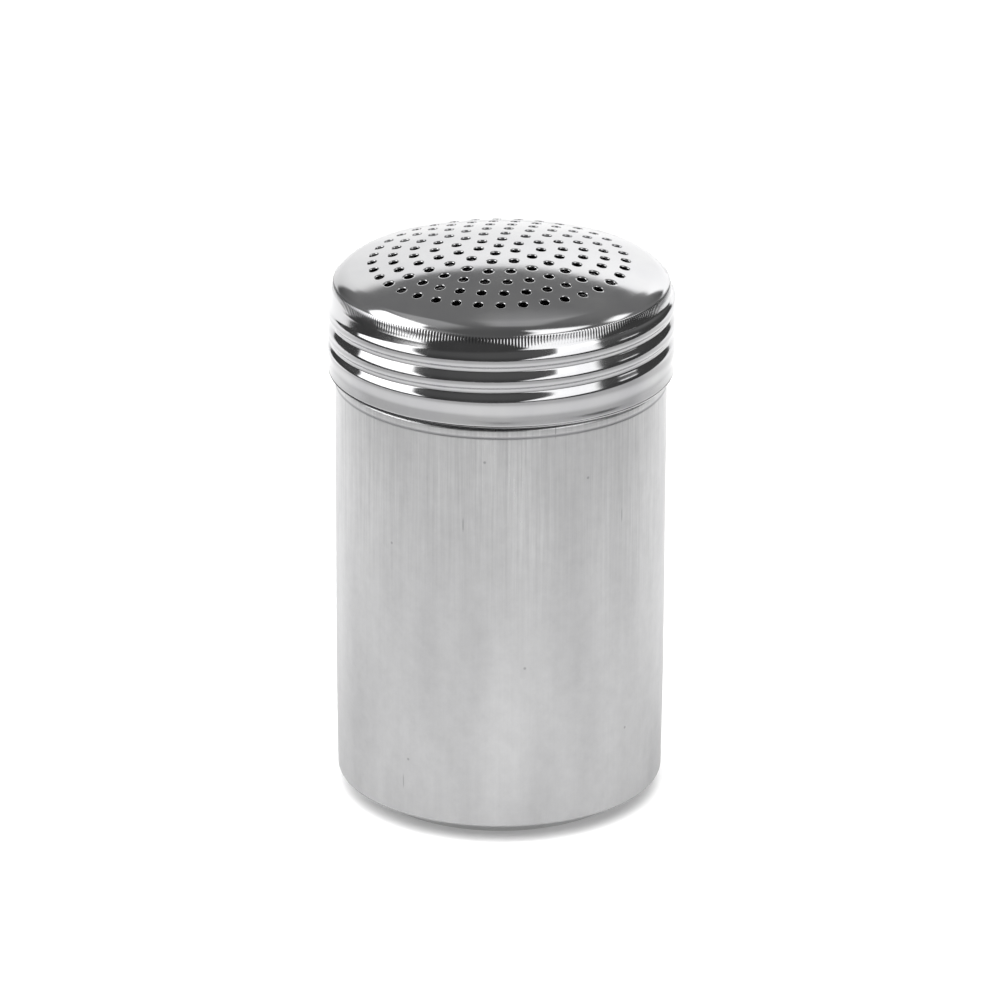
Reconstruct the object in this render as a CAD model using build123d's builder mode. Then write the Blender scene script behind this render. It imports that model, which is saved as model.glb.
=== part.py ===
from build123d import *
from math import asin, cos, degrees, radians, sin, sqrt, tan
import os

# Steel shaker for spice, sugar or cocoa: a deep-drawn cup and a perforated
# lid that screws onto its neck. Each piece is pressed from one sheet.
# Millimetres, +Z up, origin at the middle of the base, -Y is the front.

# cup
cup_wall = 0.6
body_radius = 34.0
body_height = 91.2  # where the straight wall turns in to the neck
taper = 0.3  # the wall draws in a little towards the base
taper_height = 28.0
base_corner = 6.8
base_recess = 0.8
foot_land = 2.1  # the flat ring that it stands on, with its bends
press_radius = 0.8  # the small bends of the recess and the neck
line_drop = 1.8  # from the shoulder down to the fine pressed line
line_depth = 0.2
neck_step = 1.1
neck_slope = 23.0
neck_thread_rise = 1.0
rim_roll = 0.7  # radius of the rolled mouth

# lid
lid_wall = 0.6
lid_height = 17.8  # from the hem to the foot of the knurled band
skirt_height = 5.4
skirt_step = 0.3  # the skirt stands out from the root of the thread
thread_rise = 0.8
knurl_height = 1.0
knurl_lead = 2.2  # height over which the wall draws in to the band
shoulder_radius = 6.6
shoulder_angle = 58.8  # slope at which the shoulder meets the band
dome_radius = 100.0
hem_roll = 0.6  # radius of the rolled hem

# thread rolled into both walls: right-handed
thread_pitch = 4.45
thread_land = 1.55  # left between two turns
thread_foot = 1.1  # from the skirt up to the lowest turn
thread_head = 2.4  # from the highest turn up to the band
neck_thread_lag = 0.25  # turns by which the neck's thread is shorter
thread_overlap = 0.3  # how far a rolled bead is sunk into its wall

# clearances
hem_gap = 0.5  # between the shoulder and the hem
rim_gap = 0.3  # between the rolled mouth and the inside of the lid
thread_gap = 0.4  # between the neck's thread and what passes over it

# holes of the dome: one in the middle and rings of 6, 12, 18 ... around it
hole_radius = 1.0
hole_spacing = 4.36
hole_margin = 4.0  # least distance from the outer ring to the edge of the dome
hole_row_angle = -99.0  # the row that all rings share

# radii, from the wall of the cup outwards
foot_radius = body_radius - taper
recess_radius = foot_radius - base_corner - foot_land - base_recess
neck_radius = body_radius - neck_step
rim_radius = neck_radius - cup_wall + rim_roll
neck_crest_radius = neck_radius + neck_thread_rise
thread_root_radius = neck_crest_radius + thread_gap + lid_wall
skirt_radius = thread_root_radius + skirt_step
hem_radius = neck_crest_radius + thread_gap + hem_roll
knurl_radius = rim_radius + rim_roll + rim_gap + lid_wall

# bends that their own step limits
recess_bend = min(press_radius, 1.5 * base_recess)
neck_bend = min(press_radius, 0.75 * neck_step)

# heights, from the base up
line_height = body_height - line_drop
neck_foot = body_height + neck_step * tan(radians(neck_slope))
hem_bottom = body_height + hem_gap
skirt_top = hem_bottom + skirt_height
knurl_bottom = hem_bottom + lid_height
knurl_top = knurl_bottom + knurl_height
thread_start = skirt_top + thread_foot

lid_thread_turns = (knurl_bottom - thread_head - thread_start) / thread_pitch
neck_thread_turns = lid_thread_turns - neck_thread_lag
thread_width = thread_pitch - thread_land

# the dome's cap runs tangent into the tighter shoulder
shoulder_centre_radius = knurl_radius - shoulder_radius * sin(radians(shoulder_angle))
shoulder_centre_height = knurl_top - shoulder_radius * cos(radians(shoulder_angle))
cap_angle = degrees(asin(shoulder_centre_radius / (dome_radius - shoulder_radius)))
dome_edge_radius = dome_radius * sin(radians(cap_angle))
dome_centre_height = shoulder_centre_height - (dome_radius - shoulder_radius) * cos(radians(cap_angle))
hole_rings = int((dome_edge_radius - hole_margin) / hole_spacing)

# the rolled mouth lies close under the shoulder
rim_reach = shoulder_radius - lid_wall - rim_gap - rim_roll
rim_height = shoulder_centre_height + sqrt(rim_reach**2 - (rim_radius - shoulder_centre_radius) ** 2)


def thread(wall_radius, rise, turns):
    """One turn after another of a low rounded bead, up and around a wall."""
    foot = wall_radius - thread_overlap
    with BuildPart() as bead:
        with BuildLine():
            Helix(
                pitch=thread_pitch,
                height=turns * thread_pitch,
                radius=wall_radius,
                center=(0, 0, thread_start),
            )
        with BuildSketch(Plane.XZ):
            with BuildLine():
                crown = ThreePointArc(
                    (foot, thread_start - thread_width / 2),
                    (wall_radius + rise, thread_start),
                    (foot, thread_start + thread_width / 2),
                )
                Line(crown @ 1, crown @ 0)
            make_face()
        sweep(is_frenet=True)
    return bead.part


# cup
with BuildPart() as canister:
    with BuildSketch(Plane.XZ):
        with BuildLine():
            wall_line = FilletPolyline(
                (0, base_recess),
                (recess_radius, base_recess),
                (recess_radius + base_recess, 0),
                (foot_radius, 0),
                (body_radius, taper_height),
                (body_radius, body_height),
                (neck_radius, neck_foot),
                (neck_radius, rim_height),
                radius=[recess_bend, recess_bend, base_corner, body_radius, neck_bend, neck_bend],
            )
            offset(wall_line, amount=cup_wall, side=Side.LEFT)
        make_face()
    revolve(axis=Axis.Z)
    # rolled thread: a bead outside and the same bead hollow inside
    add(thread(neck_radius, neck_thread_rise, neck_thread_turns))
    add(thread(neck_radius - cup_wall, neck_thread_rise, neck_thread_turns), mode=Mode.SUBTRACT)
    with BuildSketch(Plane.XZ):
        with Locations((rim_radius, rim_height)):
            Circle(rim_roll)
    revolve(axis=Axis.Z)
    with BuildSketch(Plane.XZ):
        with Locations((body_radius + line_depth, line_height)):
            Circle(2 * line_depth)
    revolve(axis=Axis.Z, mode=Mode.SUBTRACT)

# lid
with BuildPart() as lid:
    with BuildSketch(Plane.XZ):
        with BuildLine():
            CenterArc((0, dome_centre_height), dome_radius, 90, -cap_angle)
            CenterArc(
                (shoulder_centre_radius, shoulder_centre_height),
                shoulder_radius,
                90 - cap_angle,
                cap_angle - shoulder_angle,
            )
            Polyline(
                (knurl_radius, knurl_top),
                (knurl_radius, knurl_bottom),
                (thread_root_radius, knurl_bottom - knurl_lead),
                (thread_root_radius, skirt_top),
                (skirt_radius, skirt_top - skirt_radius + thread_root_radius),
                (skirt_radius, hem_bottom + hem_roll),
            )
            offset(amount=lid_wall, side=Side.RIGHT)
        make_face()
    revolve(axis=Axis.Z)
    # rolled thread, hollow on the inside like the one on the neck
    add(thread(thread_root_radius, thread_rise, lid_thread_turns))
    add(thread(thread_root_radius - lid_wall, thread_rise, lid_thread_turns), mode=Mode.SUBTRACT)
    with BuildSketch(Plane.XZ):
        with Locations((hem_radius, hem_bottom + hem_roll)):
            Circle(hem_roll)
    revolve(axis=Axis.Z)
    with BuildSketch(Plane.XY.offset(knurl_top)):
        Circle(hole_radius)
        for ring in range(1, hole_rings + 1):
            ring_radius = dome_radius * sin(ring * hole_spacing / dome_radius)
            with PolarLocations(ring_radius, 6 * ring, start_angle=hole_row_angle):
                Circle(hole_radius)
    extrude(amount=dome_radius, mode=Mode.SUBTRACT)

canister.part.label = "canister"
lid.part.label = "lid"

os.makedirs("parts", exist_ok=True)
export_step(canister.part, "parts/canister.step")
export_step(lid.part, "parts/lid.step")
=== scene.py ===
import math

import bmesh
import bpy
from mathutils import Matrix, Vector


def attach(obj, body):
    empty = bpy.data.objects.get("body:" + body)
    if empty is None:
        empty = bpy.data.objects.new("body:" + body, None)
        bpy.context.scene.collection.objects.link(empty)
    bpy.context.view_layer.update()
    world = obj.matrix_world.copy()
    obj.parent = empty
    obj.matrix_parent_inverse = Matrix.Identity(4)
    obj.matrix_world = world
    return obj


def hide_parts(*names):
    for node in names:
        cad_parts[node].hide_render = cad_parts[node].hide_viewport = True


# Steel shaker: a satin deep-drawn cup and a polished, perforated screw lid.
# Sizes in the dictionaries are millimetres and degrees, the scene is in metres.

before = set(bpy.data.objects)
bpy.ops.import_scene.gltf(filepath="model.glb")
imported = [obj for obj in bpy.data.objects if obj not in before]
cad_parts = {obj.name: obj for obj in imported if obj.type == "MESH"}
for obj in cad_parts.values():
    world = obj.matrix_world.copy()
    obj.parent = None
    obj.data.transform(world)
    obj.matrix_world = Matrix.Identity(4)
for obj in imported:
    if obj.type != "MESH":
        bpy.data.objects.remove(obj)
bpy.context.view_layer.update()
mm = 0.001
around = 288  # steps round the axis, shared by the sheet of the dome and its wall
rowAngle = math.radians(-99)  # the row of holes that all rings share
weld = {"section": 0.002, "copies": 0.01, "shell": 0.004}  # points nearer than this become one
slack = 0.01  # allowed when a place is tested
print("frame loaded")


def startFresh():
    if bpy.context.object and bpy.context.object.mode != "OBJECT":
        bpy.ops.object.mode_set(mode="OBJECT")
    bpy.ops.object.select_all(action="DESELECT")


def choose(piece):
    startFresh()
    piece.select_set(True)
    bpy.context.view_layer.objects.active = piece


def editing(piece):
    choose(piece)
    bpy.ops.object.mode_set(mode="EDIT")
    bpy.ops.mesh.select_mode(type="EDGE")
    bpy.ops.mesh.select_all(action="DESELECT")
    return bmesh.from_edit_mesh(piece.data)


def joined(pieces, name):
    choose(pieces[0])
    for piece in pieces:
        piece.select_set(True)
    bpy.ops.object.join()
    pieces[0].name = name
    pieces[0].data.name = name
    return pieces[0]


def weldAll(distance):
    bpy.ops.mesh.select_all(action="SELECT")
    bpy.ops.mesh.remove_doubles(threshold=distance * mm)


def spinCopies(count):  # repeats the mesh round the axis until there are that many
    bpy.ops.mesh.select_all(action="SELECT")
    bpy.ops.mesh.spin(steps=count - 1, dupli=True, angle=2 * math.pi * (count - 1) / count,
                      center=(0, 0, 0), axis=(0, 0, 1))
    weldAll(weld["copies"])
    bpy.ops.object.mode_set(mode="OBJECT")


def pickEdges(mesh, test):  # selects the open edges whose two ends both pass
    for edge in mesh.edges:
        edge.select_set(edge.is_boundary and all(test(vert.co) for vert in edge.verts))


def smooth(x):
    x = min(max(x, 0.0), 1.0)
    return x * x * (3 - 2 * x)


def arc(centreR, centreZ, radius, start, stop, steps):  # angles from the outward radius, up is 90
    turn = [math.radians(start + (stop - start) * i / steps) for i in range(steps + 1)]
    return [(centreR + radius * math.cos(a), centreZ + radius * math.sin(a)) for a in turn]


def climb(start, stop, step):  # points along a straight stretch, without its first
    length = math.hypot(stop[0] - start[0], stop[1] - start[1])
    count = max(1, round(length / step))
    return [(start[0] + (stop[0] - start[0]) * i / count, start[1] + (stop[1] - start[1]) * i / count)
            for i in range(1, count + 1)]


def lathe(profile, name):  # draws a section point by point and spins it round the axis
    startFresh()
    spots = [Vector((r * math.cos(rowAngle), r * math.sin(rowAngle), z)) * mm for r, z in profile]
    bpy.ops.mesh.primitive_plane_add(size=1 * mm, location=spots[0])
    piece = bpy.context.object
    piece.name = name
    bpy.ops.object.transform_apply(location=True)
    bpy.ops.object.mode_set(mode="EDIT")
    bpy.ops.mesh.select_mode(type="VERT")
    bpy.ops.mesh.select_all(action="SELECT")
    bpy.ops.mesh.merge(type="CENTER")
    for here, there in zip(spots, spots[1:]):
        bpy.ops.mesh.extrude_vertices_move(TRANSFORM_OT_translate={"value": there - here})
    bpy.ops.mesh.select_all(action="SELECT")
    bpy.ops.mesh.spin(steps=around, angle=2 * math.pi, center=(0, 0, 0), axis=(0, 0, 1))
    weldAll(weld["section"])
    bpy.ops.object.mode_set(mode="OBJECT")
    return piece


def reshape(piece, place):  # every point goes where place(r, angle, z) says, in millimetres
    for vert in piece.data.vertices:
        x, y, z = vert.co / mm
        r, angle, z = place(math.hypot(x, y), math.atan2(y, x), z)
        vert.co = Vector((r * math.cos(angle), r * math.sin(angle), z)) * mm
    piece.data.update()


# the rolled thread, shared by the lid and the neck
thread = {
    "pitch": 4.45,
    "start": 98.2,  # height of the lowest full turn's crest on +X
    "crest": 2.0,  # height of a crest above the valley under it
    # height above a valley, and how much of the rise is reached there
    "section": [(0, 0), (0.35, 0.04), (0.62, 0.15), (0.9, 0.395), (1.15, 0.69), (1.42, 0.88),
                (1.7, 0.97), (2.0, 1), (2.33, 0.972), (2.66, 0.903), (3.08, 0.742), (3.5, 0.518),
                (3.88, 0.308), (4.17, 0.147), (4.45, 0)],
}


def through(points, x):  # height at x of a smooth curve through the points
    for i, ((x0, y0), (x1, y1)) in enumerate(zip(points, points[1:])):
        if x <= x1 or i == len(points) - 2:
            before, after = points[max(i - 1, 0)], points[min(i + 2, len(points) - 1)]
            slope0 = (y1 - before[1]) / (x1 - before[0])
            slope1 = (after[1] - y0) / (after[0] - x0)
            span = x1 - x0
            t = (x - x0) / span
            return ((2 * t**3 - 3 * t**2 + 1) * y0 + (t**3 - 2 * t**2 + t) * span * slope0
                    + (3 * t**2 - 2 * t**3) * y1 + (t**3 - t**2) * span * slope1)


def share(angle):  # part of a full turn, from 0 to 1
    return angle % (2 * math.pi) / (2 * math.pi)


def turnAt(angle, z):  # turns above the lowest full crest
    return (z - thread["start"]) / thread["pitch"] - share(angle)


def beadAt(angle, z):  # 0 in a valley, 1 on a crest
    pitch, section = thread["pitch"], thread["section"]
    before = (section[-2][0] - pitch, section[-2][1])
    after = (section[1][0] + pitch, section[1][1])
    height = (turnAt(angle, z) % 1 * pitch + thread["crest"]) % pitch
    return through([before] + section + [after], height)


lidSize = {
    "wall": 0.6,
    "domeRadius": 100.0,
    "shoulderRadius": 6.6,
    "shoulderAngle": 58.8,
    "shoulderEnd": 40.4,  # where the shoulder turns into the knurled band
    "shoulderEndInside": 31,
    "knurlRadius": 34.6,
    "shoulderFoot": 110.5,  # where the shoulder would meet an upright wall
    "knurlTop": 111.3,
    "knurlFoot": 108.9,
    # height and radius up the leaning wall and its knurled band to the shoulder
    "lean": [(104.0, 35.913), (108.3, 34.96), (108.9, 34.83), (109.4, 34.724), (110.05, 34.587),
             (110.8, 34.425), (111.1, 34.31), (111.3, 34.06), (111.6, 33.76)],
    "crowns": (-0.213, 58.026),  # the band's radius is the first times the height, plus the second
    "rootRadius": 34.9,
    "crestRadius": 35.65,
    "skirtRadius": 35.25,
    "skirtTop": 97.0,
    "skirtRise": 1.2,  # to where the lowest turn leaves it
    "skirtFlare": 0.36,
    "hemBottom": 91.7,
    "hemRoll": 0.6,
    "hemRadius": 35.43,
    "swellHeight": 2.4,  # the hem's swell, a little shorter in two places
    "dents": [(-90, 0.17, 0.26), (-54, 0.3, 0.22)],  # direction, span in radians, share lost
    "wallStart": (0.02, -0.08),  # from the band's foot to where the plain wall begins
    "down": [(107.3, 0.22), (96.0, 0.2), (94.2, 0.45)],  # heights down the wall, step on the way
    "hemStep": 0.2,
    "hemLip": [(-0.45, 0.4), (34.6, 0.8)],  # from the roll's middle, then radius and height
    # points up the inside, and the step on the way to each
    "up": [((34.6, 96.0), 1.0), ((34.3, 96.4), 0.4), ((34.3, 107.3), 0.4), ((34.35, 108.6), 0.4),
           ((34.0, 110.0), 0.4)],
    "wallFrom": 33.5,  # the wall lies outside this radius
    "outsideFrom": 34.75,  # and its outer face outside this one
    "rollFrom": 96.0,  # the inside is plain below
    "holeRadius": 1.0,
    "holeSides": 32,
    "collar": 1.42,  # a collar round each hole, as a share of its radius
    "spacing": 4.36,
    "rings": 6,
    "web": 0.36,  # strip between the cells of two rings
    "webReach": 0.7,  # both its edges lie within this share of it from its middle
    "middleFrom": 1.3,  # between the middle hole's edge and its collar, in hole radii
    "patternEdge": 26.9,  # the shift of the pattern fades out from here
    "lip": 0.2,
    "seam": 0.15,  # the edges within this height of the band's ends are joined to it
    "teeth": 333,
    "toothDepth": 0.1,
    # share of the band's height from its top, and of the depth reached there
    "toothCut": [(0, 0), (0.06, 0.5), (0.14, 0.95), (0.28, 1), (0.42, 0.92), (0.56, 0.66),
                 (0.7, 0.34), (0.85, 0.1), (1, 0)],
    "toothAcross": [1, 0.3, 0, 0.3, 1],  # share of the depth across one tooth
    "aside": -0.62,
    "sink": 0.006,  # keeps the middle hole's lip as low as it would be in the middle
    # points along each arc of the section
    "arcs": {"dome": 4, "shoulder": 9, "hem": 10, "shoulderInside": 6, "domeInside": 2},
}


def openHole(centre):  # the edge of a hole and the collar round it, still being edited
    size = lidSize
    startFresh()
    bpy.ops.mesh.primitive_circle_add(vertices=size["holeSides"], radius=size["holeRadius"] * mm,
                                      location=(centre * mm, 0, 0))
    hole = bpy.context.object
    bpy.ops.object.transform_apply(location=True)
    editing(hole)
    bpy.ops.mesh.select_all(action="SELECT")
    bpy.ops.mesh.extrude_edges_move()
    bpy.ops.transform.resize(value=(size["collar"], size["collar"], 1),
                             center_override=(centre * mm, 0, 0))
    return hole


def holeCell(ring):  # one hole with its share of the sheet, then the rest of its ring
    size = lidSize
    centre = ring * size["spacing"]
    cell = openHole(centre)
    bpy.ops.mesh.extrude_edges_move()
    half = size["spacing"] / 2 - size["web"] / 2
    for vert in bmesh.from_edit_mesh(cell.data).verts:
        if vert.select:  # the outer loop goes square, on the borders of the neighbours
            turn = math.degrees(math.atan2(vert.co.y, vert.co.x - centre * mm))
            side = round(turn / 90)
            along = (turn - 90 * side) / 45
            out, across = [(1, along), (-along, 1), (-1, -along), (along, -1)][side % 4]
            radius = centre + out * half
            angle = across * math.pi / (6 * ring)
            vert.co = Vector((radius * math.cos(angle), radius * math.sin(angle), 0)) * mm
    spinCopies(6 * ring)
    return cell


def flatSheet():  # the pattern in the flat: the rings of holes, bridged to one another
    size = lidSize
    rings = [holeCell(ring) for ring in range(1, size["rings"] + 1)]
    middle = openHole(0)
    bpy.ops.object.mode_set(mode="OBJECT")
    sheet = joined([middle] + rings, "lidShell")
    editing(sheet)
    reach = size["webReach"] * size["web"] * mm
    for ring in range(size["rings"]):
        border = (ring + 0.5) * size["spacing"] * mm
        low = border - reach if ring else size["middleFrom"] * size["holeRadius"] * mm
        pickEdges(bmesh.from_edit_mesh(sheet.data),
                  lambda co: low < math.hypot(co.x, co.y) < border + reach)
        bpy.ops.mesh.bridge_edge_loops()
    bpy.ops.mesh.select_all(action="SELECT")
    bpy.ops.mesh.normals_make_consistent(inside=False)
    mesh = bmesh.from_edit_mesh(sheet.data)
    if sum(face.normal.z * face.calc_area() for face in mesh.faces) < 0:
        bpy.ops.mesh.flip_normals()
    bpy.ops.object.mode_set(mode="OBJECT")
    return sheet


def perforatedSheet():
    size = lidSize
    sheet = flatSheet()
    solid = sheet.modifiers.new("thickness", "SOLIDIFY")
    solid.thickness = size["wall"] * mm
    solid.offset = -1
    bpy.ops.object.modifier_apply(modifier=solid.name)

    edge = sheetEdge()
    mesh = editing(sheet)
    for face in mesh.faces:  # the outer rim goes, the wall carries on from there
        if all(math.hypot(v.co.x, v.co.y) > (edge - slack) * mm for v in face.verts):
            face.select_set(True)
    bpy.ops.mesh.delete(type="ONLY_FACE")
    mesh = bmesh.from_edit_mesh(sheet.data)
    for lip in mesh.edges:  # the punched edge of each hole
        lip.select_set(len(lip.link_faces) == 2 and all(v.co.z > -slack * mm for v in lip.verts)
                       and lip.calc_face_angle() > 1)
    bpy.ops.mesh.bevel(offset=size["lip"] * mm, segments=3, affect="EDGES", profile=0.5)
    bpy.ops.object.mode_set(mode="OBJECT")

    def dome(r, angle, z):  # the whole pattern is punched a little off the middle
        ease = 1 - smooth((r - size["patternEdge"]) / (edge - size["patternEdge"]))
        aside = Vector((r * math.cos(angle + rowAngle), r * math.sin(angle + rowAngle)))
        aside.x += size["aside"] * ease
        r, angle = aside.length, math.atan2(aside.y, aside.x) - rowAngle
        lean = r / size["domeRadius"]
        reach = size["domeRadius"] + z - size["sink"] * ease
        return reach * math.sin(lean), angle + rowAngle, domeHeight() + reach * math.cos(lean)

    reshape(sheet, dome)
    return sheet


def sheetEdge():
    return (lidSize["rings"] + 0.5) * lidSize["spacing"] - lidSize["web"] / 2


def shoulderCentre():
    size = lidSize
    lean = math.radians(size["shoulderAngle"])
    return (size["knurlRadius"] - size["shoulderRadius"] * math.sin(lean),
            size["shoulderFoot"] - size["shoulderRadius"] * math.cos(lean))


def capAngle():  # where the dome runs into the shoulder
    reach = lidSize["domeRadius"] - lidSize["shoulderRadius"]
    return math.degrees(math.asin(shoulderCentre()[0] / reach))


def domeHeight():  # height of the dome's centre
    reach = lidSize["domeRadius"] - lidSize["shoulderRadius"]
    return shoulderCentre()[1] - reach * math.cos(math.radians(capAngle()))


# how the lid's wall carries the thread: lengths round the wall are in turns
rolled = {
    "runOut": 0.3,  # the third bead sinks away over this
    "roofFrom": 0.06,  # the wall above the last crest leans in from here, fully after the next
    "roofTurns": 0.3,
    "fadeAbove": 0.3,  # the beads are gone this far above the band's foot, and fade over the next
    "fadeOver": 1.0,
    "flareFrom": 94.4,
    "flareHeight": 2.8,
    "runIn": 0.16,  # the skirt comes down from the lowest turn over this
    "shallow": 0.5,  # a narrow groove is this much less deep
    "fullGroove": 1.8,  # height from which a groove is as deep as the rest
    "leastGroove": 0.8,
    "soft": 0.05,  # rounding where the skirt meets the thread
    "near": 35.0,
    "inside": (0.2, 0.8, 0.7),  # the inner face: start, span of its growth, span of its end
    "outside": 0.25,  # the outer face ends over this, under the band
}


def threadRadius(turn, turned, angle, z):  # the beads, and the wall leaning in above the last
    size = lidSize
    root, crown = size["rootRadius"], size["crestRadius"]
    bead = math.floor(turn + thread["crest"] / thread["pitch"])  # counted up from the lowest full turn
    grown = {0: 1, 1: 1, 2: 1 - smooth(turned / rolled["runOut"])}.get(bead, 0)
    threaded = root + (crown - root) * beadAt(angle, z) * grown
    if turn > 1:
        crest = thread["start"] + thread["pitch"] * (turned + (2 if turn > 2 else 1))
        foot, footRadius = size["lean"][2]
        roof = through(size["lean"], z)
        if z < foot:
            roof = min(roof, crown - (crown - footRadius) * (z - crest) / (foot - crest))
        leaning = 1 if turn > 2 else smooth((turned - rolled["roofFrom"]) / rolled["roofTurns"])
        roof = root + (roof - root) * leaning
        fade = smooth((foot + rolled["fadeAbove"] - z) / rolled["fadeOver"])
        threaded = roof + max(0, threaded - roof) * fade
    return threaded


def skirtRadius(crest, turned, z):  # up to the lowest crest, its top sloping into the groove above
    size = lidSize
    rise = size["skirtRise"] * (1 - smooth(turned / rolled["runIn"]))
    top = max(size["skirtTop"], crest - thread["pitch"]) + rise
    groove = crest - thread["crest"] - top
    flare = smooth((min(z, top) - rolled["flareFrom"]) / rolled["flareHeight"])
    skirt = size["skirtRadius"] + size["skirtFlare"] * flare
    if z > top:
        root = size["rootRadius"] + rolled["shallow"] * (1 - smooth(groove / rolled["fullGroove"]))
        slope = thread["pitch"] - thread["crest"]
        down = min(1, (z - top) / max(groove, rolled["leastGroove"]))
        skirt = root + (skirt - root) * through(thread["section"], thread["crest"] + slope * down)
    return skirt


def wallRadius(angle, z):  # the lid's outside between the hem and the knurled band
    turned = share(angle)
    threaded = threadRadius(turnAt(angle, z), turned, angle, z)
    crest = thread["start"] + thread["pitch"] * turned
    if z > crest:
        return threaded
    soft, near = rolled["soft"], rolled["near"]
    skirt = skirtRadius(crest, turned, z)
    return soft * math.log(math.exp((threaded - near) / soft) + math.exp((skirt - near) / soft)) + near


def lidOutside():  # from the edge of the sheet over the shoulder to the knurled band
    size = lidSize
    lean0 = math.degrees(sheetEdge() / size["domeRadius"])
    cap = capAngle()
    arcs = size["arcs"]
    points = arc(0, domeHeight(), size["domeRadius"], 90 - lean0, 90 - cap, arcs["dome"])
    points += arc(*shoulderCentre(), size["shoulderRadius"], 90 - cap, size["shoulderEnd"],
                  arcs["shoulder"])[1:]
    return points


def lidBelow():  # from the knurled band down, round the hem and up the inside
    size = lidSize
    wall, roll, arcs = size["wall"], size["hemRoll"], size["arcs"]
    hemZ = size["hemBottom"] + roll
    hemR = size["hemRadius"] - roll
    out, up = size["wallStart"]
    points = [(size["lean"][2][1] + out, size["knurlFoot"] + up)]
    for height, step in size["down"] + [(hemZ, size["hemStep"])]:
        points += climb(points[-1], (size["skirtRadius"], height), step)
    points += [(hemR + roll, hemZ)] + arc(hemR, hemZ, roll, 0, -180, arcs["hem"])[1:]
    (inward, lift), (radius, above) = size["hemLip"]
    points += [(hemR + inward, hemZ + lift), (radius, hemZ + above)]
    for spot, step in size["up"]:
        points += climb(points[-1], spot, step)
    cap = capAngle()
    points += arc(*shoulderCentre(), size["shoulderRadius"] - wall, size["shoulderEndInside"], 90 - cap,
                  arcs["shoulderInside"])
    lean0 = math.degrees(sheetEdge() / size["domeRadius"])
    points += arc(0, domeHeight(), size["domeRadius"] - wall, 90 - cap, 90 - lean0, arcs["domeInside"])[1:]
    return points


def rollLid(r, angle, z):  # the thread, pressed into the plain wall, and the swell above the hem
    size = lidSize
    hemZ = size["hemBottom"] + size["hemRoll"]
    top, low = size["knurlFoot"], size["rollFrom"]
    outside = r > size["outsideFrom"]
    if r < size["wallFrom"] or z > top or (z < low and not outside):
        return r, angle, z
    if not outside:
        start, grow, end = rolled["inside"]
        ease = smooth((z - low - start) / grow) * smooth((top - z) / end)
        return r + (wallRadius(angle, z) - size["wall"] - r) * ease, angle, z
    if z > hemZ + slack:
        ease = smooth((top - z) / rolled["outside"])
        swell = size["hemRadius"] - size["skirtRadius"]
        height = size["swellHeight"]
        for where, span, loss in size["dents"]:
            aside = math.remainder(angle - math.radians(where), 2 * math.pi) / span
            height *= 1 - loss * math.exp(-aside**2)
        r += (wallRadius(angle, z) - r) * ease + swell * (1 - smooth((z - hemZ) / height))
    return r, angle, z


def knurledBand():  # one tooth, then its copies round the band
    size = lidSize
    pitch = 2 * math.pi / size["teeth"]
    cuts, across = size["toothCut"], size["toothAcross"]
    rows, columns = len(cuts) - 1, len(across) - 1
    startFresh()
    bpy.ops.mesh.primitive_grid_add(x_subdivisions=columns, y_subdivisions=rows, size=1 * mm)
    tooth = bpy.context.object
    for vert in tooth.data.vertices:
        column = round((vert.co.x / mm + 0.5) * columns)
        down, cut = cuts[round((0.5 - vert.co.y / mm) * rows)]
        z = size["knurlTop"] + down * (size["knurlFoot"] - size["knurlTop"])
        r = through(size["lean"], z) - size["toothDepth"] * cut * across[column]
        angle = rowAngle + pitch * (column / columns - 0.5)
        vert.co = Vector((r * math.cos(angle), r * math.sin(angle), z)) * mm
    editing(tooth)
    spinCopies(size["teeth"])
    return tooth


def finishShell(shell):
    editing(shell)
    weldAll(weld["shell"])
    bpy.ops.mesh.select_all(action="SELECT")
    bpy.ops.mesh.normals_make_consistent(inside=False)
    choose(shell)
    bpy.ops.object.shade_smooth_by_angle(angle=math.radians(50))
    mesh = bmesh.new()
    mesh.from_mesh(shell.data)
    print(shell.name, "triangles", sum(len(f.verts) - 2 for f in mesh.faces), "open edges",
          sum(e.is_boundary for e in mesh.edges), "volume", round(mesh.calc_volume() / mm**3))
    mesh.free()


def makeLid():
    size = lidSize
    sheet = perforatedSheet()
    upper = lathe(lidOutside(), "lidUpper")
    lower = lathe(lidBelow(), "lidLower")
    reshape(lower, rollLid)
    band = knurledBand()
    lid = joined([sheet, upper, lower, band], "lidShell")
    editing(lid)
    weldAll(weld["shell"])
    for height in (size["knurlTop"], size["knurlFoot"]):  # the seams of the knurled band
        pickEdges(bmesh.from_edit_mesh(lid.data), lambda co: abs(co.z - height * mm) < size["seam"] * mm
                  and math.hypot(co.x, co.y) > size["wallFrom"] * mm)
        bpy.ops.mesh.bridge_edge_loops()
    finishShell(lid)
    return lid


lidShell = makeLid()
print("lid modelled")


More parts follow.
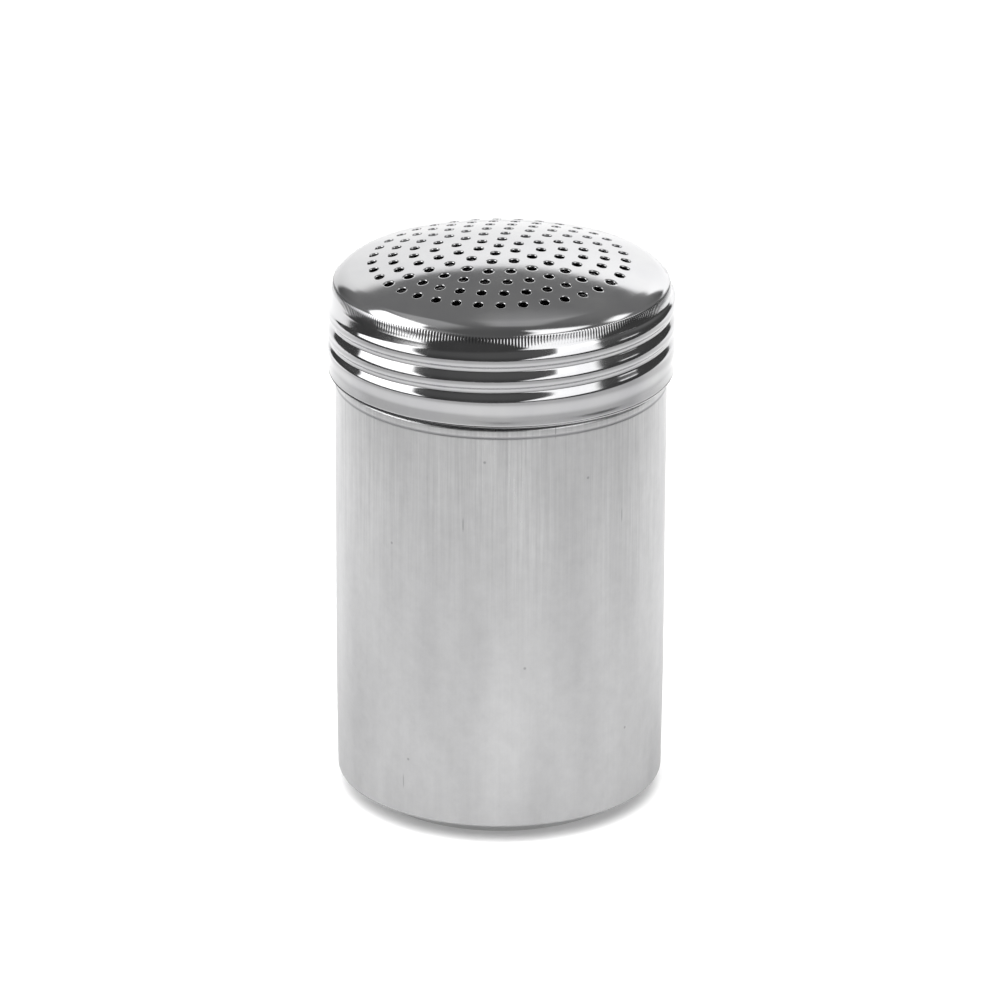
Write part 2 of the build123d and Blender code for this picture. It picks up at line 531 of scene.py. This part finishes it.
cupSize = {
    "wall": 0.6,
    "radius": 34.0,
    "height": 91.2,
    "taperHeight": 28.0,
    "edge": (33.72, 4.0),  # the crisp lower edge of the wall
    "edgeInside": (33.1, 4.37),
    "footRing": 27.2,
    "recess": 0.8,
    "recessRadius": 24.0,
    "bend": 0.8,
    "footBends": [2.0, 1.0],  # at the foot ring and at the edge
    "insideBends": [0.5, 0.5, 0, 0.6, 1.5, 0.5, 0.5],
    # where the corners of the inside lie, against the same corners of the outside
    "insideShift": {"neckFoot": 0.2, "height": -0.15, "footRing": -0.17, "recess": 0.25},
    # longest step on the bends and walls, and on long plain stretches
    "steps": {"outside": 0.2, "inside": 0.35, "neck": 0.3, "neckInside": 0.45, "plain": 12},
    "rows": [40, 52, 64, 76, 84],  # heights of extra rows up the plain wall
    "line": 89.4,  # the fine line pressed in under the lid
    "lineDepth": 0.06,
    # height from the line's middle, and share of its depth there
    "lineShape": [(-0.6, 0), (-0.34, 0), (-0.16, 0.35), (0, 1), (0.16, 0.35), (0.34, 0), (0.6, 0)],
    "neck": 32.9,
    "neckFoot": 91.667,
    "neckRise": 1.0,
    "threaded": (96.0, 108.6),  # heights between which the neck has close rows
    "neckFrom": 30.0,  # the neck lies outside this radius
    "neckEnds": 0.2,  # plain at each end of the close rows
    "neckTop": 109.2,
    "neckTopInside": 109.4,
    "neckTurns": (-0.36, 0.64, 1.64),  # where its thread begins, has gone once round, and twice
    "runIn": 0.12,  # turns over which it grows
    "runOut": (0.66, 0.12),  # and where it starts to sink away, and over how much
    "rimRoll": 0.7,
    "rimHeight": 110.02,
    "rimArc": (-40, 180, 14),
}


def filleted(corners, radii, step):  # a line with rounded corners, as points
    points = [corners[0]]
    for before, corner, after, radius in zip(corners, corners[1:], corners[2:], radii):
        a = Vector(before) - Vector(corner)
        b = Vector(after) - Vector(corner)
        opening = a.angle(b)
        if radius == 0 or opening > math.radians(179.9):
            points.append(corner)
            continue
        reach = radius / math.tan(opening / 2)
        halfway = (a.normalized() + b.normalized()).normalized()
        centre = Vector(corner) + halfway * (radius / math.sin(opening / 2))
        start = Vector(corner) + a.normalized() * reach - centre
        stop = Vector(corner) + b.normalized() * reach - centre
        sweep = start.angle_signed(stop)
        count = max(3, round(abs(sweep) * radius / step))
        for i in range(count + 1):
            spot = centre + Matrix.Rotation(-sweep * i / count, 2) @ start
            points.append(tuple(spot))
    points.append(corners[-1])
    return points


def fillIn(points, longest):  # extra points on long straight stretches
    dense = [points[0]]
    for here, there in zip(points, points[1:]):
        dense += climb(here, there, longest) if math.dist(here, there) > longest else [there]
    return dense


def cupOutside():  # from the middle of the base up to the foot of the neck's thread
    size = cupSize
    radius, recess, bend, lineZ = size["radius"], size["recess"], size["bend"], size["line"]
    outside = filleted(
        [(0, recess), (size["recessRadius"], recess), (size["recessRadius"] + recess, 0),
         (size["footRing"], 0), size["edge"], (radius, size["taperHeight"]), (radius, size["height"]),
         (size["neck"], size["neckFoot"]), (size["neck"], size["threaded"][0])],
        [bend, bend, *size["footBends"], 0, bend, bend], size["steps"]["outside"])
    fine = []
    for here, there in zip(outside, outside[1:]):
        fine.append(here)
        if here[1] < lineZ - 2 and there[1] > lineZ:  # the long straight wall
            fine += [(radius, z) for z in size["rows"]]
            fine += [(radius - depth * size["lineDepth"], lineZ + off) for off, depth in size["lineShape"]]
    fine.append(outside[-1])
    return fine


def cupInside():  # from the foot of the thread down to the middle of the base
    size = cupSize
    wall, shift = size["wall"], size["insideShift"]
    inner, radius = size["neck"] - wall, size["radius"] - wall
    recessEdge = size["recessRadius"] + shift["recess"]
    return filleted(
        [(inner, size["threaded"][0]), (inner, size["neckFoot"] + shift["neckFoot"]),
         (radius, size["height"] + shift["height"]), (radius, size["taperHeight"]), size["edgeInside"],
         (size["footRing"] + shift["footRing"], wall), (recessEdge + size["recess"], wall),
         (recessEdge, size["recess"] + wall), (0, size["recess"] + wall)],
        size["insideBends"], size["steps"]["inside"])


def cupProfile():
    size = cupSize
    neck, inner = size["neck"], size["neck"] - size["wall"]
    low, high = size["threaded"]
    steps = size["steps"]
    points = fillIn(cupOutside(), steps["plain"])
    points += climb((neck, low), (neck, high), steps["neck"]) + [(neck, size["neckTop"])]
    points += arc(inner + size["rimRoll"], size["rimHeight"], size["rimRoll"], *size["rimArc"])
    points += [(inner, size["neckTopInside"])]
    points += climb(points[-1], (inner, low), steps["neckInside"])
    return points + fillIn(cupInside(), steps["plain"])[1:]


def rollNeck(r, angle, z):  # the same thread, shorter at its upper end
    size = cupSize
    low, high = size["threaded"]
    if not low + size["neckEnds"] < z < high - size["neckEnds"] or r < size["neckFrom"]:
        return r, angle, z
    turn, turned = turnAt(angle, z), share(angle)
    first, second, last = size["neckTurns"]
    grown = 0.0
    if first < turn <= second:
        grown = smooth(turned / size["runIn"])
    elif second < turn <= last:
        sinkFrom, sinkOver = size["runOut"]
        grown = 1 - smooth((turned - sinkFrom) / sinkOver)
    return r + size["neckRise"] * beadAt(angle, z) * grown, angle, z


def makeCup():
    cup = lathe(cupProfile(), "cupShell")
    reshape(cup, rollNeck)
    finishShell(cup)
    return cup


cupShell = makeCup()
print("cup modelled")


def linear(hexColour):  # sRGB hex to linear
    channels = [int(hexColour[i:i + 2], 16) / 255 for i in (1, 3, 5)]
    return tuple(c / 12.92 if c <= 0.04045 else ((c + 0.055) / 1.055) ** 2.4 for c in channels) + (1,)


def node(tree, kind, settings=None, links=None):  # adds a node, sets its sockets and joins it up
    made = tree.nodes.new("ShaderNode" + kind)
    for name, value in (settings or {}).items():
        if name == "ends":  # place and colour of the two ends of a ramp
            for end, (place, colour) in zip(made.color_ramp.elements, value):
                end.position = place
                end.color = linear(colour)
        elif isinstance(name, str) and hasattr(made, name) and name not in made.inputs:
            setattr(made, name, value)
        else:
            made.inputs[name].default_value = value
    for name, source in (links or {}).items():  # a node stands for its first output
        tree.links.new(getattr(source, "outputs", [source])[0], made.inputs[name])
    return made


def nearTo(tree, source, middle, inner, outer):  # 1 within inner of the middle, 0 beyond outer
    off = node(tree, "Math", {"operation": "SUBTRACT", 1: middle * mm}, {0: source})
    away = node(tree, "Math", {"operation": "ABSOLUTE"}, {0: off})
    return node(tree, "MapRange", {
        "interpolation_type": "SMOOTHSTEP", "From Min": inner * mm, "From Max": outer * mm,
        "To Min": 1.0, "To Max": 0.0}, {0: away})


def newMaterial(name):
    material = bpy.data.materials.new(name)
    material.use_nodes = True
    tree = material.node_tree
    tree.nodes.clear()
    return material, tree


def steelShader(tree, colour, roughness, grain, strength, depth):
    relief = node(tree, "Bump", {"Strength": strength, "Distance": depth * mm}, {"Height": grain})
    shader = node(tree, "BsdfPrincipled", {"Metallic": 1.0}, {
        "Base Color": colour, "Roughness": roughness, "Normal": relief})
    node(tree, "OutputMaterial", {}, {"Surface": shader})


polish = {
    "smudge": 9,  # patches where a cloth has passed, drawn out upright
    "grain": 0.4,
    "hemShade": (92.0, 92.4),  # painted shade: the roll of the hem is painted near black below this height
    "hemShadeTilt": 0.008,
    "between": (0.14, 0.06, 0.12),  # depth between the teeth where shade is painted: middle, inner and outer reach
    "band": (110.1, 0.8, 1.0),  # and the height of the teeth in the same way
}


def polishedSteel():  # stainless 18/10, polished to a mirror: shows the studio, hazy from handling; painted shade under the hem's roll and between the teeth
    material, tree = newMaterial("polishedSteel")
    place = node(tree, "TexCoord").outputs["Object"]
    upright = node(tree, "Mapping", {"Scale": (1, 1, 0.35)}, {"Vector": place})
    smudge = node(tree, "TexNoise", {
        "Scale": 1 / (polish["smudge"] * mm), "Detail": 5, "Roughness": 0.6}, {"Vector": upright})
    haze = node(tree, "MapRange", {
        "From Min": 0.35, "From Max": 0.7, "To Min": 0.08, "To Max": 0.15}, {0: smudge})
    tint = node(tree, "ValToRGB", {"ends": [(0.3, "#BEBEC0"), (0.75, "#C7C7C7")]}, {0: smudge})

    split = node(tree, "SeparateXYZ", {}, {0: place})
    height = split.outputs["Z"]
    # painted shade: below a slightly tilted height the colour goes near black on the roll of the hem
    tilted = node(tree, "Math", {"operation": "MULTIPLY_ADD", 1: polish["hemShadeTilt"]}, {
        0: split.outputs["X"], 2: height})
    low, high = polish["hemShade"]
    aboveHemShade = node(tree, "MapRange", {
        "interpolation_type": "SMOOTHSTEP", "From Min": low * mm, "From Max": high * mm}, {0: tilted})
    hemShaded = node(tree, "Mix", {"data_type": "RGBA", "A": linear("#242426")}, {0: aboveHemShade, "B": tint})

    flat = node(tree, "Mapping", {"Scale": (1, 1, 0)}, {"Vector": place})
    reach = node(tree, "VectorMath", {"operation": "LENGTH"}, {0: flat})
    # painted shade: the valleys between the teeth of the knurled band are painted a darker grey
    lean, foot = lidSize["crowns"]
    crown = node(tree, "Math", {"operation": "MULTIPLY_ADD", 1: lean, 2: foot * mm}, {0: height})
    depth = node(tree, "Math", {"operation": "SUBTRACT"}, {0: crown, 1: reach.outputs["Value"]})
    between = nearTo(tree, depth, *polish["between"])
    band = nearTo(tree, height, *polish["band"])
    valleyShade = node(tree, "Math", {"operation": "MULTIPLY"}, {0: between, 1: band})
    valleyShaded = node(tree, "Mix", {"data_type": "RGBA", "B": linear("#7A7A7C")}, {  # painted shade, a darker grey in the valleys between the teeth
        0: valleyShade, "A": hemShaded.outputs["Result"]})
    grain = node(tree, "TexNoise", {"Scale": 1 / (polish["grain"] * mm), "Detail": 2}, {"Vector": place})
    steelShader(tree, valleyShaded.outputs["Result"], haze, grain, 0.12, 0.01)
    return material


satin = {
    "lines": 0.6,  # drawing lines, a few centimetres long
    "bands": 10,
    "cloud": 3,
    "specksApart": 34,  # specks of about 0.5 mm
    "scratchesApart": 13,  # upright, about 3 mm long
    "drawn": (40, 86),  # the lines are strongest in the upper third, drawn last; over the same heights the colour is painted lighter upwards, as painted light
    "lineEdge": (0.1, 0.45),  # painted shade: the pressed line is painted a darker grey
    "rubbed": (3.4, 4.6),  # the foot is rubbed brighter on the table
}


def marks(tree, vector, apart, inner, outer, darkest):  # darkest within inner of scattered points
    spots = node(tree, "TexVoronoi", {"voronoi_dimensions": "2D", "Scale": 1 / (apart * mm)}, {
        "Vector": vector})
    return node(tree, "MapRange", {
        "interpolation_type": "SMOOTHSTEP", "From Min": inner, "From Max": outer,
        "To Min": darkest, "To Max": 1.0}, {0: spots.outputs["Distance"]})


def satinSteel():  # stainless, as deep-drawn: upright drawing lines, dull bands, a few small marks; painted lighter towards the top, with painted shade at the pressed line
    material, tree = newMaterial("satinSteel")
    place = node(tree, "TexCoord").outputs["Object"]
    split = node(tree, "SeparateXYZ", {}, {0: place})
    height = split.outputs["Z"]
    back = node(tree, "Math", {"operation": "MULTIPLY", 1: -1}, {0: split.outputs["Y"]})
    bearing = node(tree, "Math", {"operation": "ARCTAN2"}, {0: split.outputs["X"], 1: back})
    arcLength = node(tree, "Math", {"operation": "MULTIPLY", 1: cupSize["radius"] * mm}, {0: bearing})
    unrolled = node(tree, "CombineXYZ", {}, {"X": arcLength, "Y": height})

    drawnOut = node(tree, "Mapping", {"Scale": (1, 1, 0.022)}, {"Vector": place})
    lines = node(tree, "TexNoise", {
        "Scale": 1 / (satin["lines"] * mm), "Detail": 4, "Roughness": 0.7}, {"Vector": drawnOut})
    tall = node(tree, "Mapping", {"Scale": (1, 1, 0.2)}, {"Vector": place})
    bands = node(tree, "TexNoise", {"Scale": 1 / (satin["bands"] * mm), "Detail": 2}, {"Vector": tall})
    cloud = node(tree, "TexNoise", {
        "Scale": 1 / (satin["cloud"] * mm), "Detail": 5, "Roughness": 0.75}, {"Vector": place})
    specks = marks(tree, unrolled, satin["specksApart"], 0.0043, 0.0117, 0.5)
    upright = node(tree, "Mapping", {"Scale": (1, 0.09, 1)}, {"Vector": unrolled})
    scratches = marks(tree, upright, satin["scratchesApart"], 0.006, 0.014, 0.55)

    low, high = satin["drawn"]
    drawn = node(tree, "MapRange", {
        "interpolation_type": "SMOOTHSTEP", "From Min": low * mm, "From Max": high * mm,
        "To Min": 0.06, "To Max": 0.56}, {0: height})
    wave = node(tree, "MapRange", {
        "From Min": 0.3, "From Max": 0.7, "To Min": 0.5, "To Max": 1.4}, {0: bands})
    strength = node(tree, "Math", {"operation": "MULTIPLY"}, {0: drawn, 1: wave})
    centred = node(tree, "Math", {"operation": "SUBTRACT", 1: 0.5}, {0: lines})
    # painted light: the colour grows lighter towards the top
    lighterUpwards = node(tree, "Math", {"operation": "MULTIPLY_ADD", 1: 0.13, 2: 0.255}, {0: drawn})
    streak = node(tree, "Math", {"operation": "MULTIPLY_ADD"}, {0: centred, 1: strength, 2: lighterUpwards})
    broad = node(tree, "Math", {"operation": "MULTIPLY_ADD", 1: 0.3}, {0: bands, 2: streak})
    level = node(tree, "Math", {"operation": "MULTIPLY_ADD", 1: 0.18}, {0: cloud, 2: broad})
    speckled = node(tree, "Math", {"operation": "MULTIPLY"}, {0: level, 1: specks})
    scored = node(tree, "Math", {"operation": "MULTIPLY"}, {0: speckled, 1: scratches})
    tint = node(tree, "ValToRGB", {"ends": [(0.2, "#9C9C9E"), (0.8, "#E2E2E2")]}, {0: scored})

    # painted shade along the pressed line
    pressed = nearTo(tree, height, cupSize["line"], *satin["lineEdge"])
    lineShaded = node(tree, "Mix", {"data_type": "RGBA", "B": linear("#9E9EA0")}, {0: pressed, "A": tint})
    gloss = node(tree, "MapRange", {
        "From Min": 0.3, "From Max": 0.7, "To Min": 0.36, "To Max": 0.27}, {0: scored})
    low, high = satin["rubbed"]
    rubbed = node(tree, "MapRange", {
        "interpolation_type": "SMOOTHSTEP", "From Min": low * mm, "From Max": high * mm,
        "To Min": 0.35, "To Max": 1.0}, {0: height})
    haze = node(tree, "Math", {"operation": "MULTIPLY"}, {0: gloss, 1: rubbed})
    steelShader(tree, lineShaded.outputs["Result"], haze, lines, 0.3, 0.02)
    return material


def dress(piece, material, body, replaced):
    piece.data.materials.clear()
    piece.data.materials.append(material)
    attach(piece, body)
    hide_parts(replaced)


dress(lidShell, polishedSteel(), "cap", "lid")
dress(cupShell, satinSteel(), "cup", "canister")
print("materials on")


studio = {  # in metres
    "table": {"left": -0.75, "right": 0.6, "front": -1.6, "back": 1.2},
    "paper": 0.8,
    "paperGlow": 0.22,  # what the camera and the metal see on top of it
    "paperMirrored": {"near": 0.46, "far": 0.26, "from": 0.13, "to": 0.3},  # as the metal sees it: painted light, lighter near the object
    "paperBehind": [(0.0, 0.12, 0.13), (0.12, 0.35, 0.4)],  # painted light, lighter behind the object: from where to where it gains how much
    # brightness of the room by height, and of its upper part from behind the camera to the far side
    "room": {"low": 0.07, "front": 0.14, "far": 0.25, "up": (0.05, 0.55), "across": (-0.3, 0.5)},
    "softbox": {"place": (-0.1, -0.28, 1.2), "size": 2.2, "power": 46.0},
    "cardsRound": 0.1,  # height of the point that the cards stand round
    # name: corners as (azimuth from the camera side, elevation), going round from the lower left,
    # distance, brightness at the left and the right end, softness of the border
    "cards": {
        "leftWindow": ([(-106, 16), (-58, 16), (-79, 61), (-126, 47)], 1.0, (2.6, 2.4), 0.08),
        "leftFoot": ([(-106, 1), (-47, 1), (-59, 19), (-106, 19)], 1.0, (2.6, 2.4), 0.1),
        "leftGlow": ([(-136, 40), (-50, 50), (-52, 80), (-146, 64)], 1.1, (0.3, 0.3), 0.3),
        "rightWindow": ([(35, 20), (68, 20), (86, 52), (32, 77)], 1.0, (1.8, 1.65), 0.08),
        "rightFoot": ([(9, 1), (68, 1), (68, 24), (39, 24)], 1.0, (1.8, 1.65), 0.1),
        "smallWindow": ([(92, 31), (114, 31), (113, 47), (92, 47)], 1.0, (1.7, 1.7), 0.2),
        "smallStreak": ([(80, 7), (98, 4), (98, 7), (80, 11)], 1.0, (1.3, 1.3), 0.15),
        "farWall": ([(143, -8), (214, -8), (214, 29), (143, 29)], 2.4, (1.6, 0.85), 0.06),
        "overhead": ([(190, 52), (157, 44), (95, 76), (-100, 84)], 1.6, (0.26, 0.26), 0.28),
    },
}


def direction(azimuth, elevation):
    a, e = math.radians(azimuth), math.radians(elevation)
    return Vector((math.sin(a) * math.cos(e), -math.cos(a) * math.cos(e), math.sin(e)))


def lightCard(name, corners, distance, ends, softness):  # a glowing panel with a soft border
    aims = [direction(*corner) for corner in corners]
    middle = sum(aims, Vector()).normalized()
    centre = Vector((0, 0, studio["cardsRound"]))
    spots = [centre + aim * distance / aim.dot(middle) for aim in aims]
    startFresh()
    bpy.ops.mesh.primitive_plane_add(size=1)
    card = bpy.context.object
    card.name = name
    for vert, corner in zip(card.data.vertices, (0, 1, 3, 2)):
        vert.co = spots[corner]
    material, tree = newMaterial(name + "Glow")
    across = node(tree, "SeparateXYZ", {}, {0: node(tree, "UVMap")})
    sides = {}
    for axis in (0, 1):
        off = node(tree, "Math", {"operation": "SUBTRACT", 1: 0.5}, {0: across.outputs[axis]})
        away = node(tree, "Math", {"operation": "ABSOLUTE"}, {0: off})
        sides[axis] = node(tree, "MapRange", {
            "interpolation_type": "SMOOTHSTEP", "From Min": 0.5, "From Max": 0.5 - softness}, {0: away})
    level = node(tree, "MapRange", {"To Min": ends[0], "To Max": ends[1]}, {0: across})
    border = node(tree, "Math", {"operation": "MULTIPLY"}, sides)
    power = node(tree, "Math", {"operation": "MULTIPLY"}, {0: border, 1: level})
    glow = node(tree, "Emission", {}, {"Strength": power})
    clear = node(tree, "BsdfTransparent", {"Color": (1, 1, 1, 1)})
    both = node(tree, "AddShader", {}, {0: glow, 1: clear})
    node(tree, "OutputMaterial", {}, {"Surface": both})
    card.data.materials.append(material)
    card.visible_camera = False
    card.visible_diffuse = False


def makeFloor():
    startFresh()
    table = studio["table"]
    bpy.ops.mesh.primitive_plane_add(size=1)
    floor = bpy.context.object
    for vert in floor.data.vertices:
        vert.co.x = table["right"] if vert.co.x > 0 else table["left"]
        vert.co.y = table["back"] if vert.co.y > 0 else table["front"]
    floor.name = "studioFloor"
    material, tree = newMaterial("paperFloor")
    path = node(tree, "LightPath")
    place = node(tree, "TexCoord").outputs["Object"]
    away = node(tree, "VectorMath", {"operation": "LENGTH"}, {0: place})
    # painted light: for glossy rays the floor's tone is lighter near the object and behind it
    mirrored = studio["paperMirrored"]
    reflectedFloorLight = node(tree, "MapRange", {
        "interpolation_type": "SMOOTHSTEP", "From Min": mirrored["from"], "From Max": mirrored["to"],
        "To Min": mirrored["near"], "To Max": mirrored["far"]}, {0: away.outputs["Value"]})
    split = node(tree, "SeparateXYZ", {}, {0: place})
    for start, stop, gain in studio["paperBehind"]:
        lighter = node(tree, "MapRange", {
            "interpolation_type": "SMOOTHSTEP", "From Min": start, "From Max": stop, "To Max": gain}, {
            0: split.outputs["Y"]})
        reflectedFloorLight = node(tree, "Math", {"operation": "ADD"}, {0: reflectedFloorLight, 1: lighter})
    tone = node(tree, "MapRange", {"To Min": studio["paper"]}, {
        0: path.outputs["Is Glossy Ray"], "To Max": reflectedFloorLight})
    direct = node(tree, "Math", {"operation": "ADD"}, {
        0: path.outputs["Is Camera Ray"], 1: path.outputs["Is Glossy Ray"]})
    amount = node(tree, "Math", {"operation": "MULTIPLY", 1: studio["paperGlow"]}, {0: direct})
    paper = node(tree, "BsdfDiffuse", {}, {"Color": tone})
    glow = node(tree, "Emission", {}, {"Strength": amount})
    both = node(tree, "AddShader", {}, {0: paper, 1: glow})
    node(tree, "OutputMaterial", {}, {"Surface": both})
    floor.data.materials.append(material)


def makeWorld():
    world = bpy.data.worlds.new("studioWorld")
    bpy.context.scene.world = world
    world.use_nodes = True
    tree = world.node_tree
    tree.nodes.clear()
    room = studio["room"]
    split = node(tree, "SeparateXYZ", {}, {0: node(tree, "TexCoord").outputs["Generated"]})
    start, stop = room["across"]
    upper = node(tree, "MapRange", {
        "interpolation_type": "SMOOTHSTEP", "From Min": start, "From Max": stop,
        "To Min": room["front"], "To Max": room["far"]}, {0: split.outputs["Y"]})
    low, high = room["up"]
    level = node(tree, "MapRange", {
        "interpolation_type": "SMOOTHSTEP", "From Min": low, "From Max": high, "To Min": room["low"]}, {
        0: split.outputs["Z"], "To Max": upper})
    path = node(tree, "LightPath")
    walls = node(tree, "Background", {"Color": (1, 1, 1, 1)}, {"Strength": level})
    white = node(tree, "Background", {"Color": (1, 1, 1, 1)})
    choice = node(tree, "MixShader", {}, {0: path.outputs["Is Camera Ray"], 1: walls, 2: white})
    node(tree, "OutputWorld", {}, {"Surface": choice})


def makeSoftbox():  # lights the floor from overhead, where no gloss shows it
    box = studio["softbox"]
    startFresh()
    bpy.ops.object.light_add(type="AREA", location=box["place"])
    lamp = bpy.context.object
    lamp.data.shape = "DISK"
    lamp.data.size = box["size"]
    lamp.data.energy = box["power"]
    lamp.visible_glossy = False
    lamp.rotation_euler = Vector(box["place"]).to_track_quat("Z", "Y").to_euler()


makeFloor()
makeWorld()
makeSoftbox()
for cardName, card in studio["cards"].items():
    lightCard(cardName, *card)
print("studio lit")


view = {"pitch": 21.759, "distance": 1460.0, "target": 62.573, "aside": -0.12, "roll": 0.248, "lens": 254.8,
        "clipEnd": 20}  # the last in metres

startFresh()
tilt = math.radians(view["pitch"])
bpy.ops.object.camera_add(location=(
    view["aside"] * mm, -view["distance"] * math.cos(tilt) * mm,
    (view["target"] + view["distance"] * math.sin(tilt)) * mm))
camera = bpy.context.object
camera.rotation_mode = "ZXY"
camera.rotation_euler = (math.radians(90) - tilt, 0, math.radians(view["roll"]))
camera.data.lens = view["lens"]
camera.data.clip_end = view["clipEnd"]
bpy.context.scene.camera = camera
bpy.context.scene.view_settings.view_transform = "Standard"
print("camera placed")
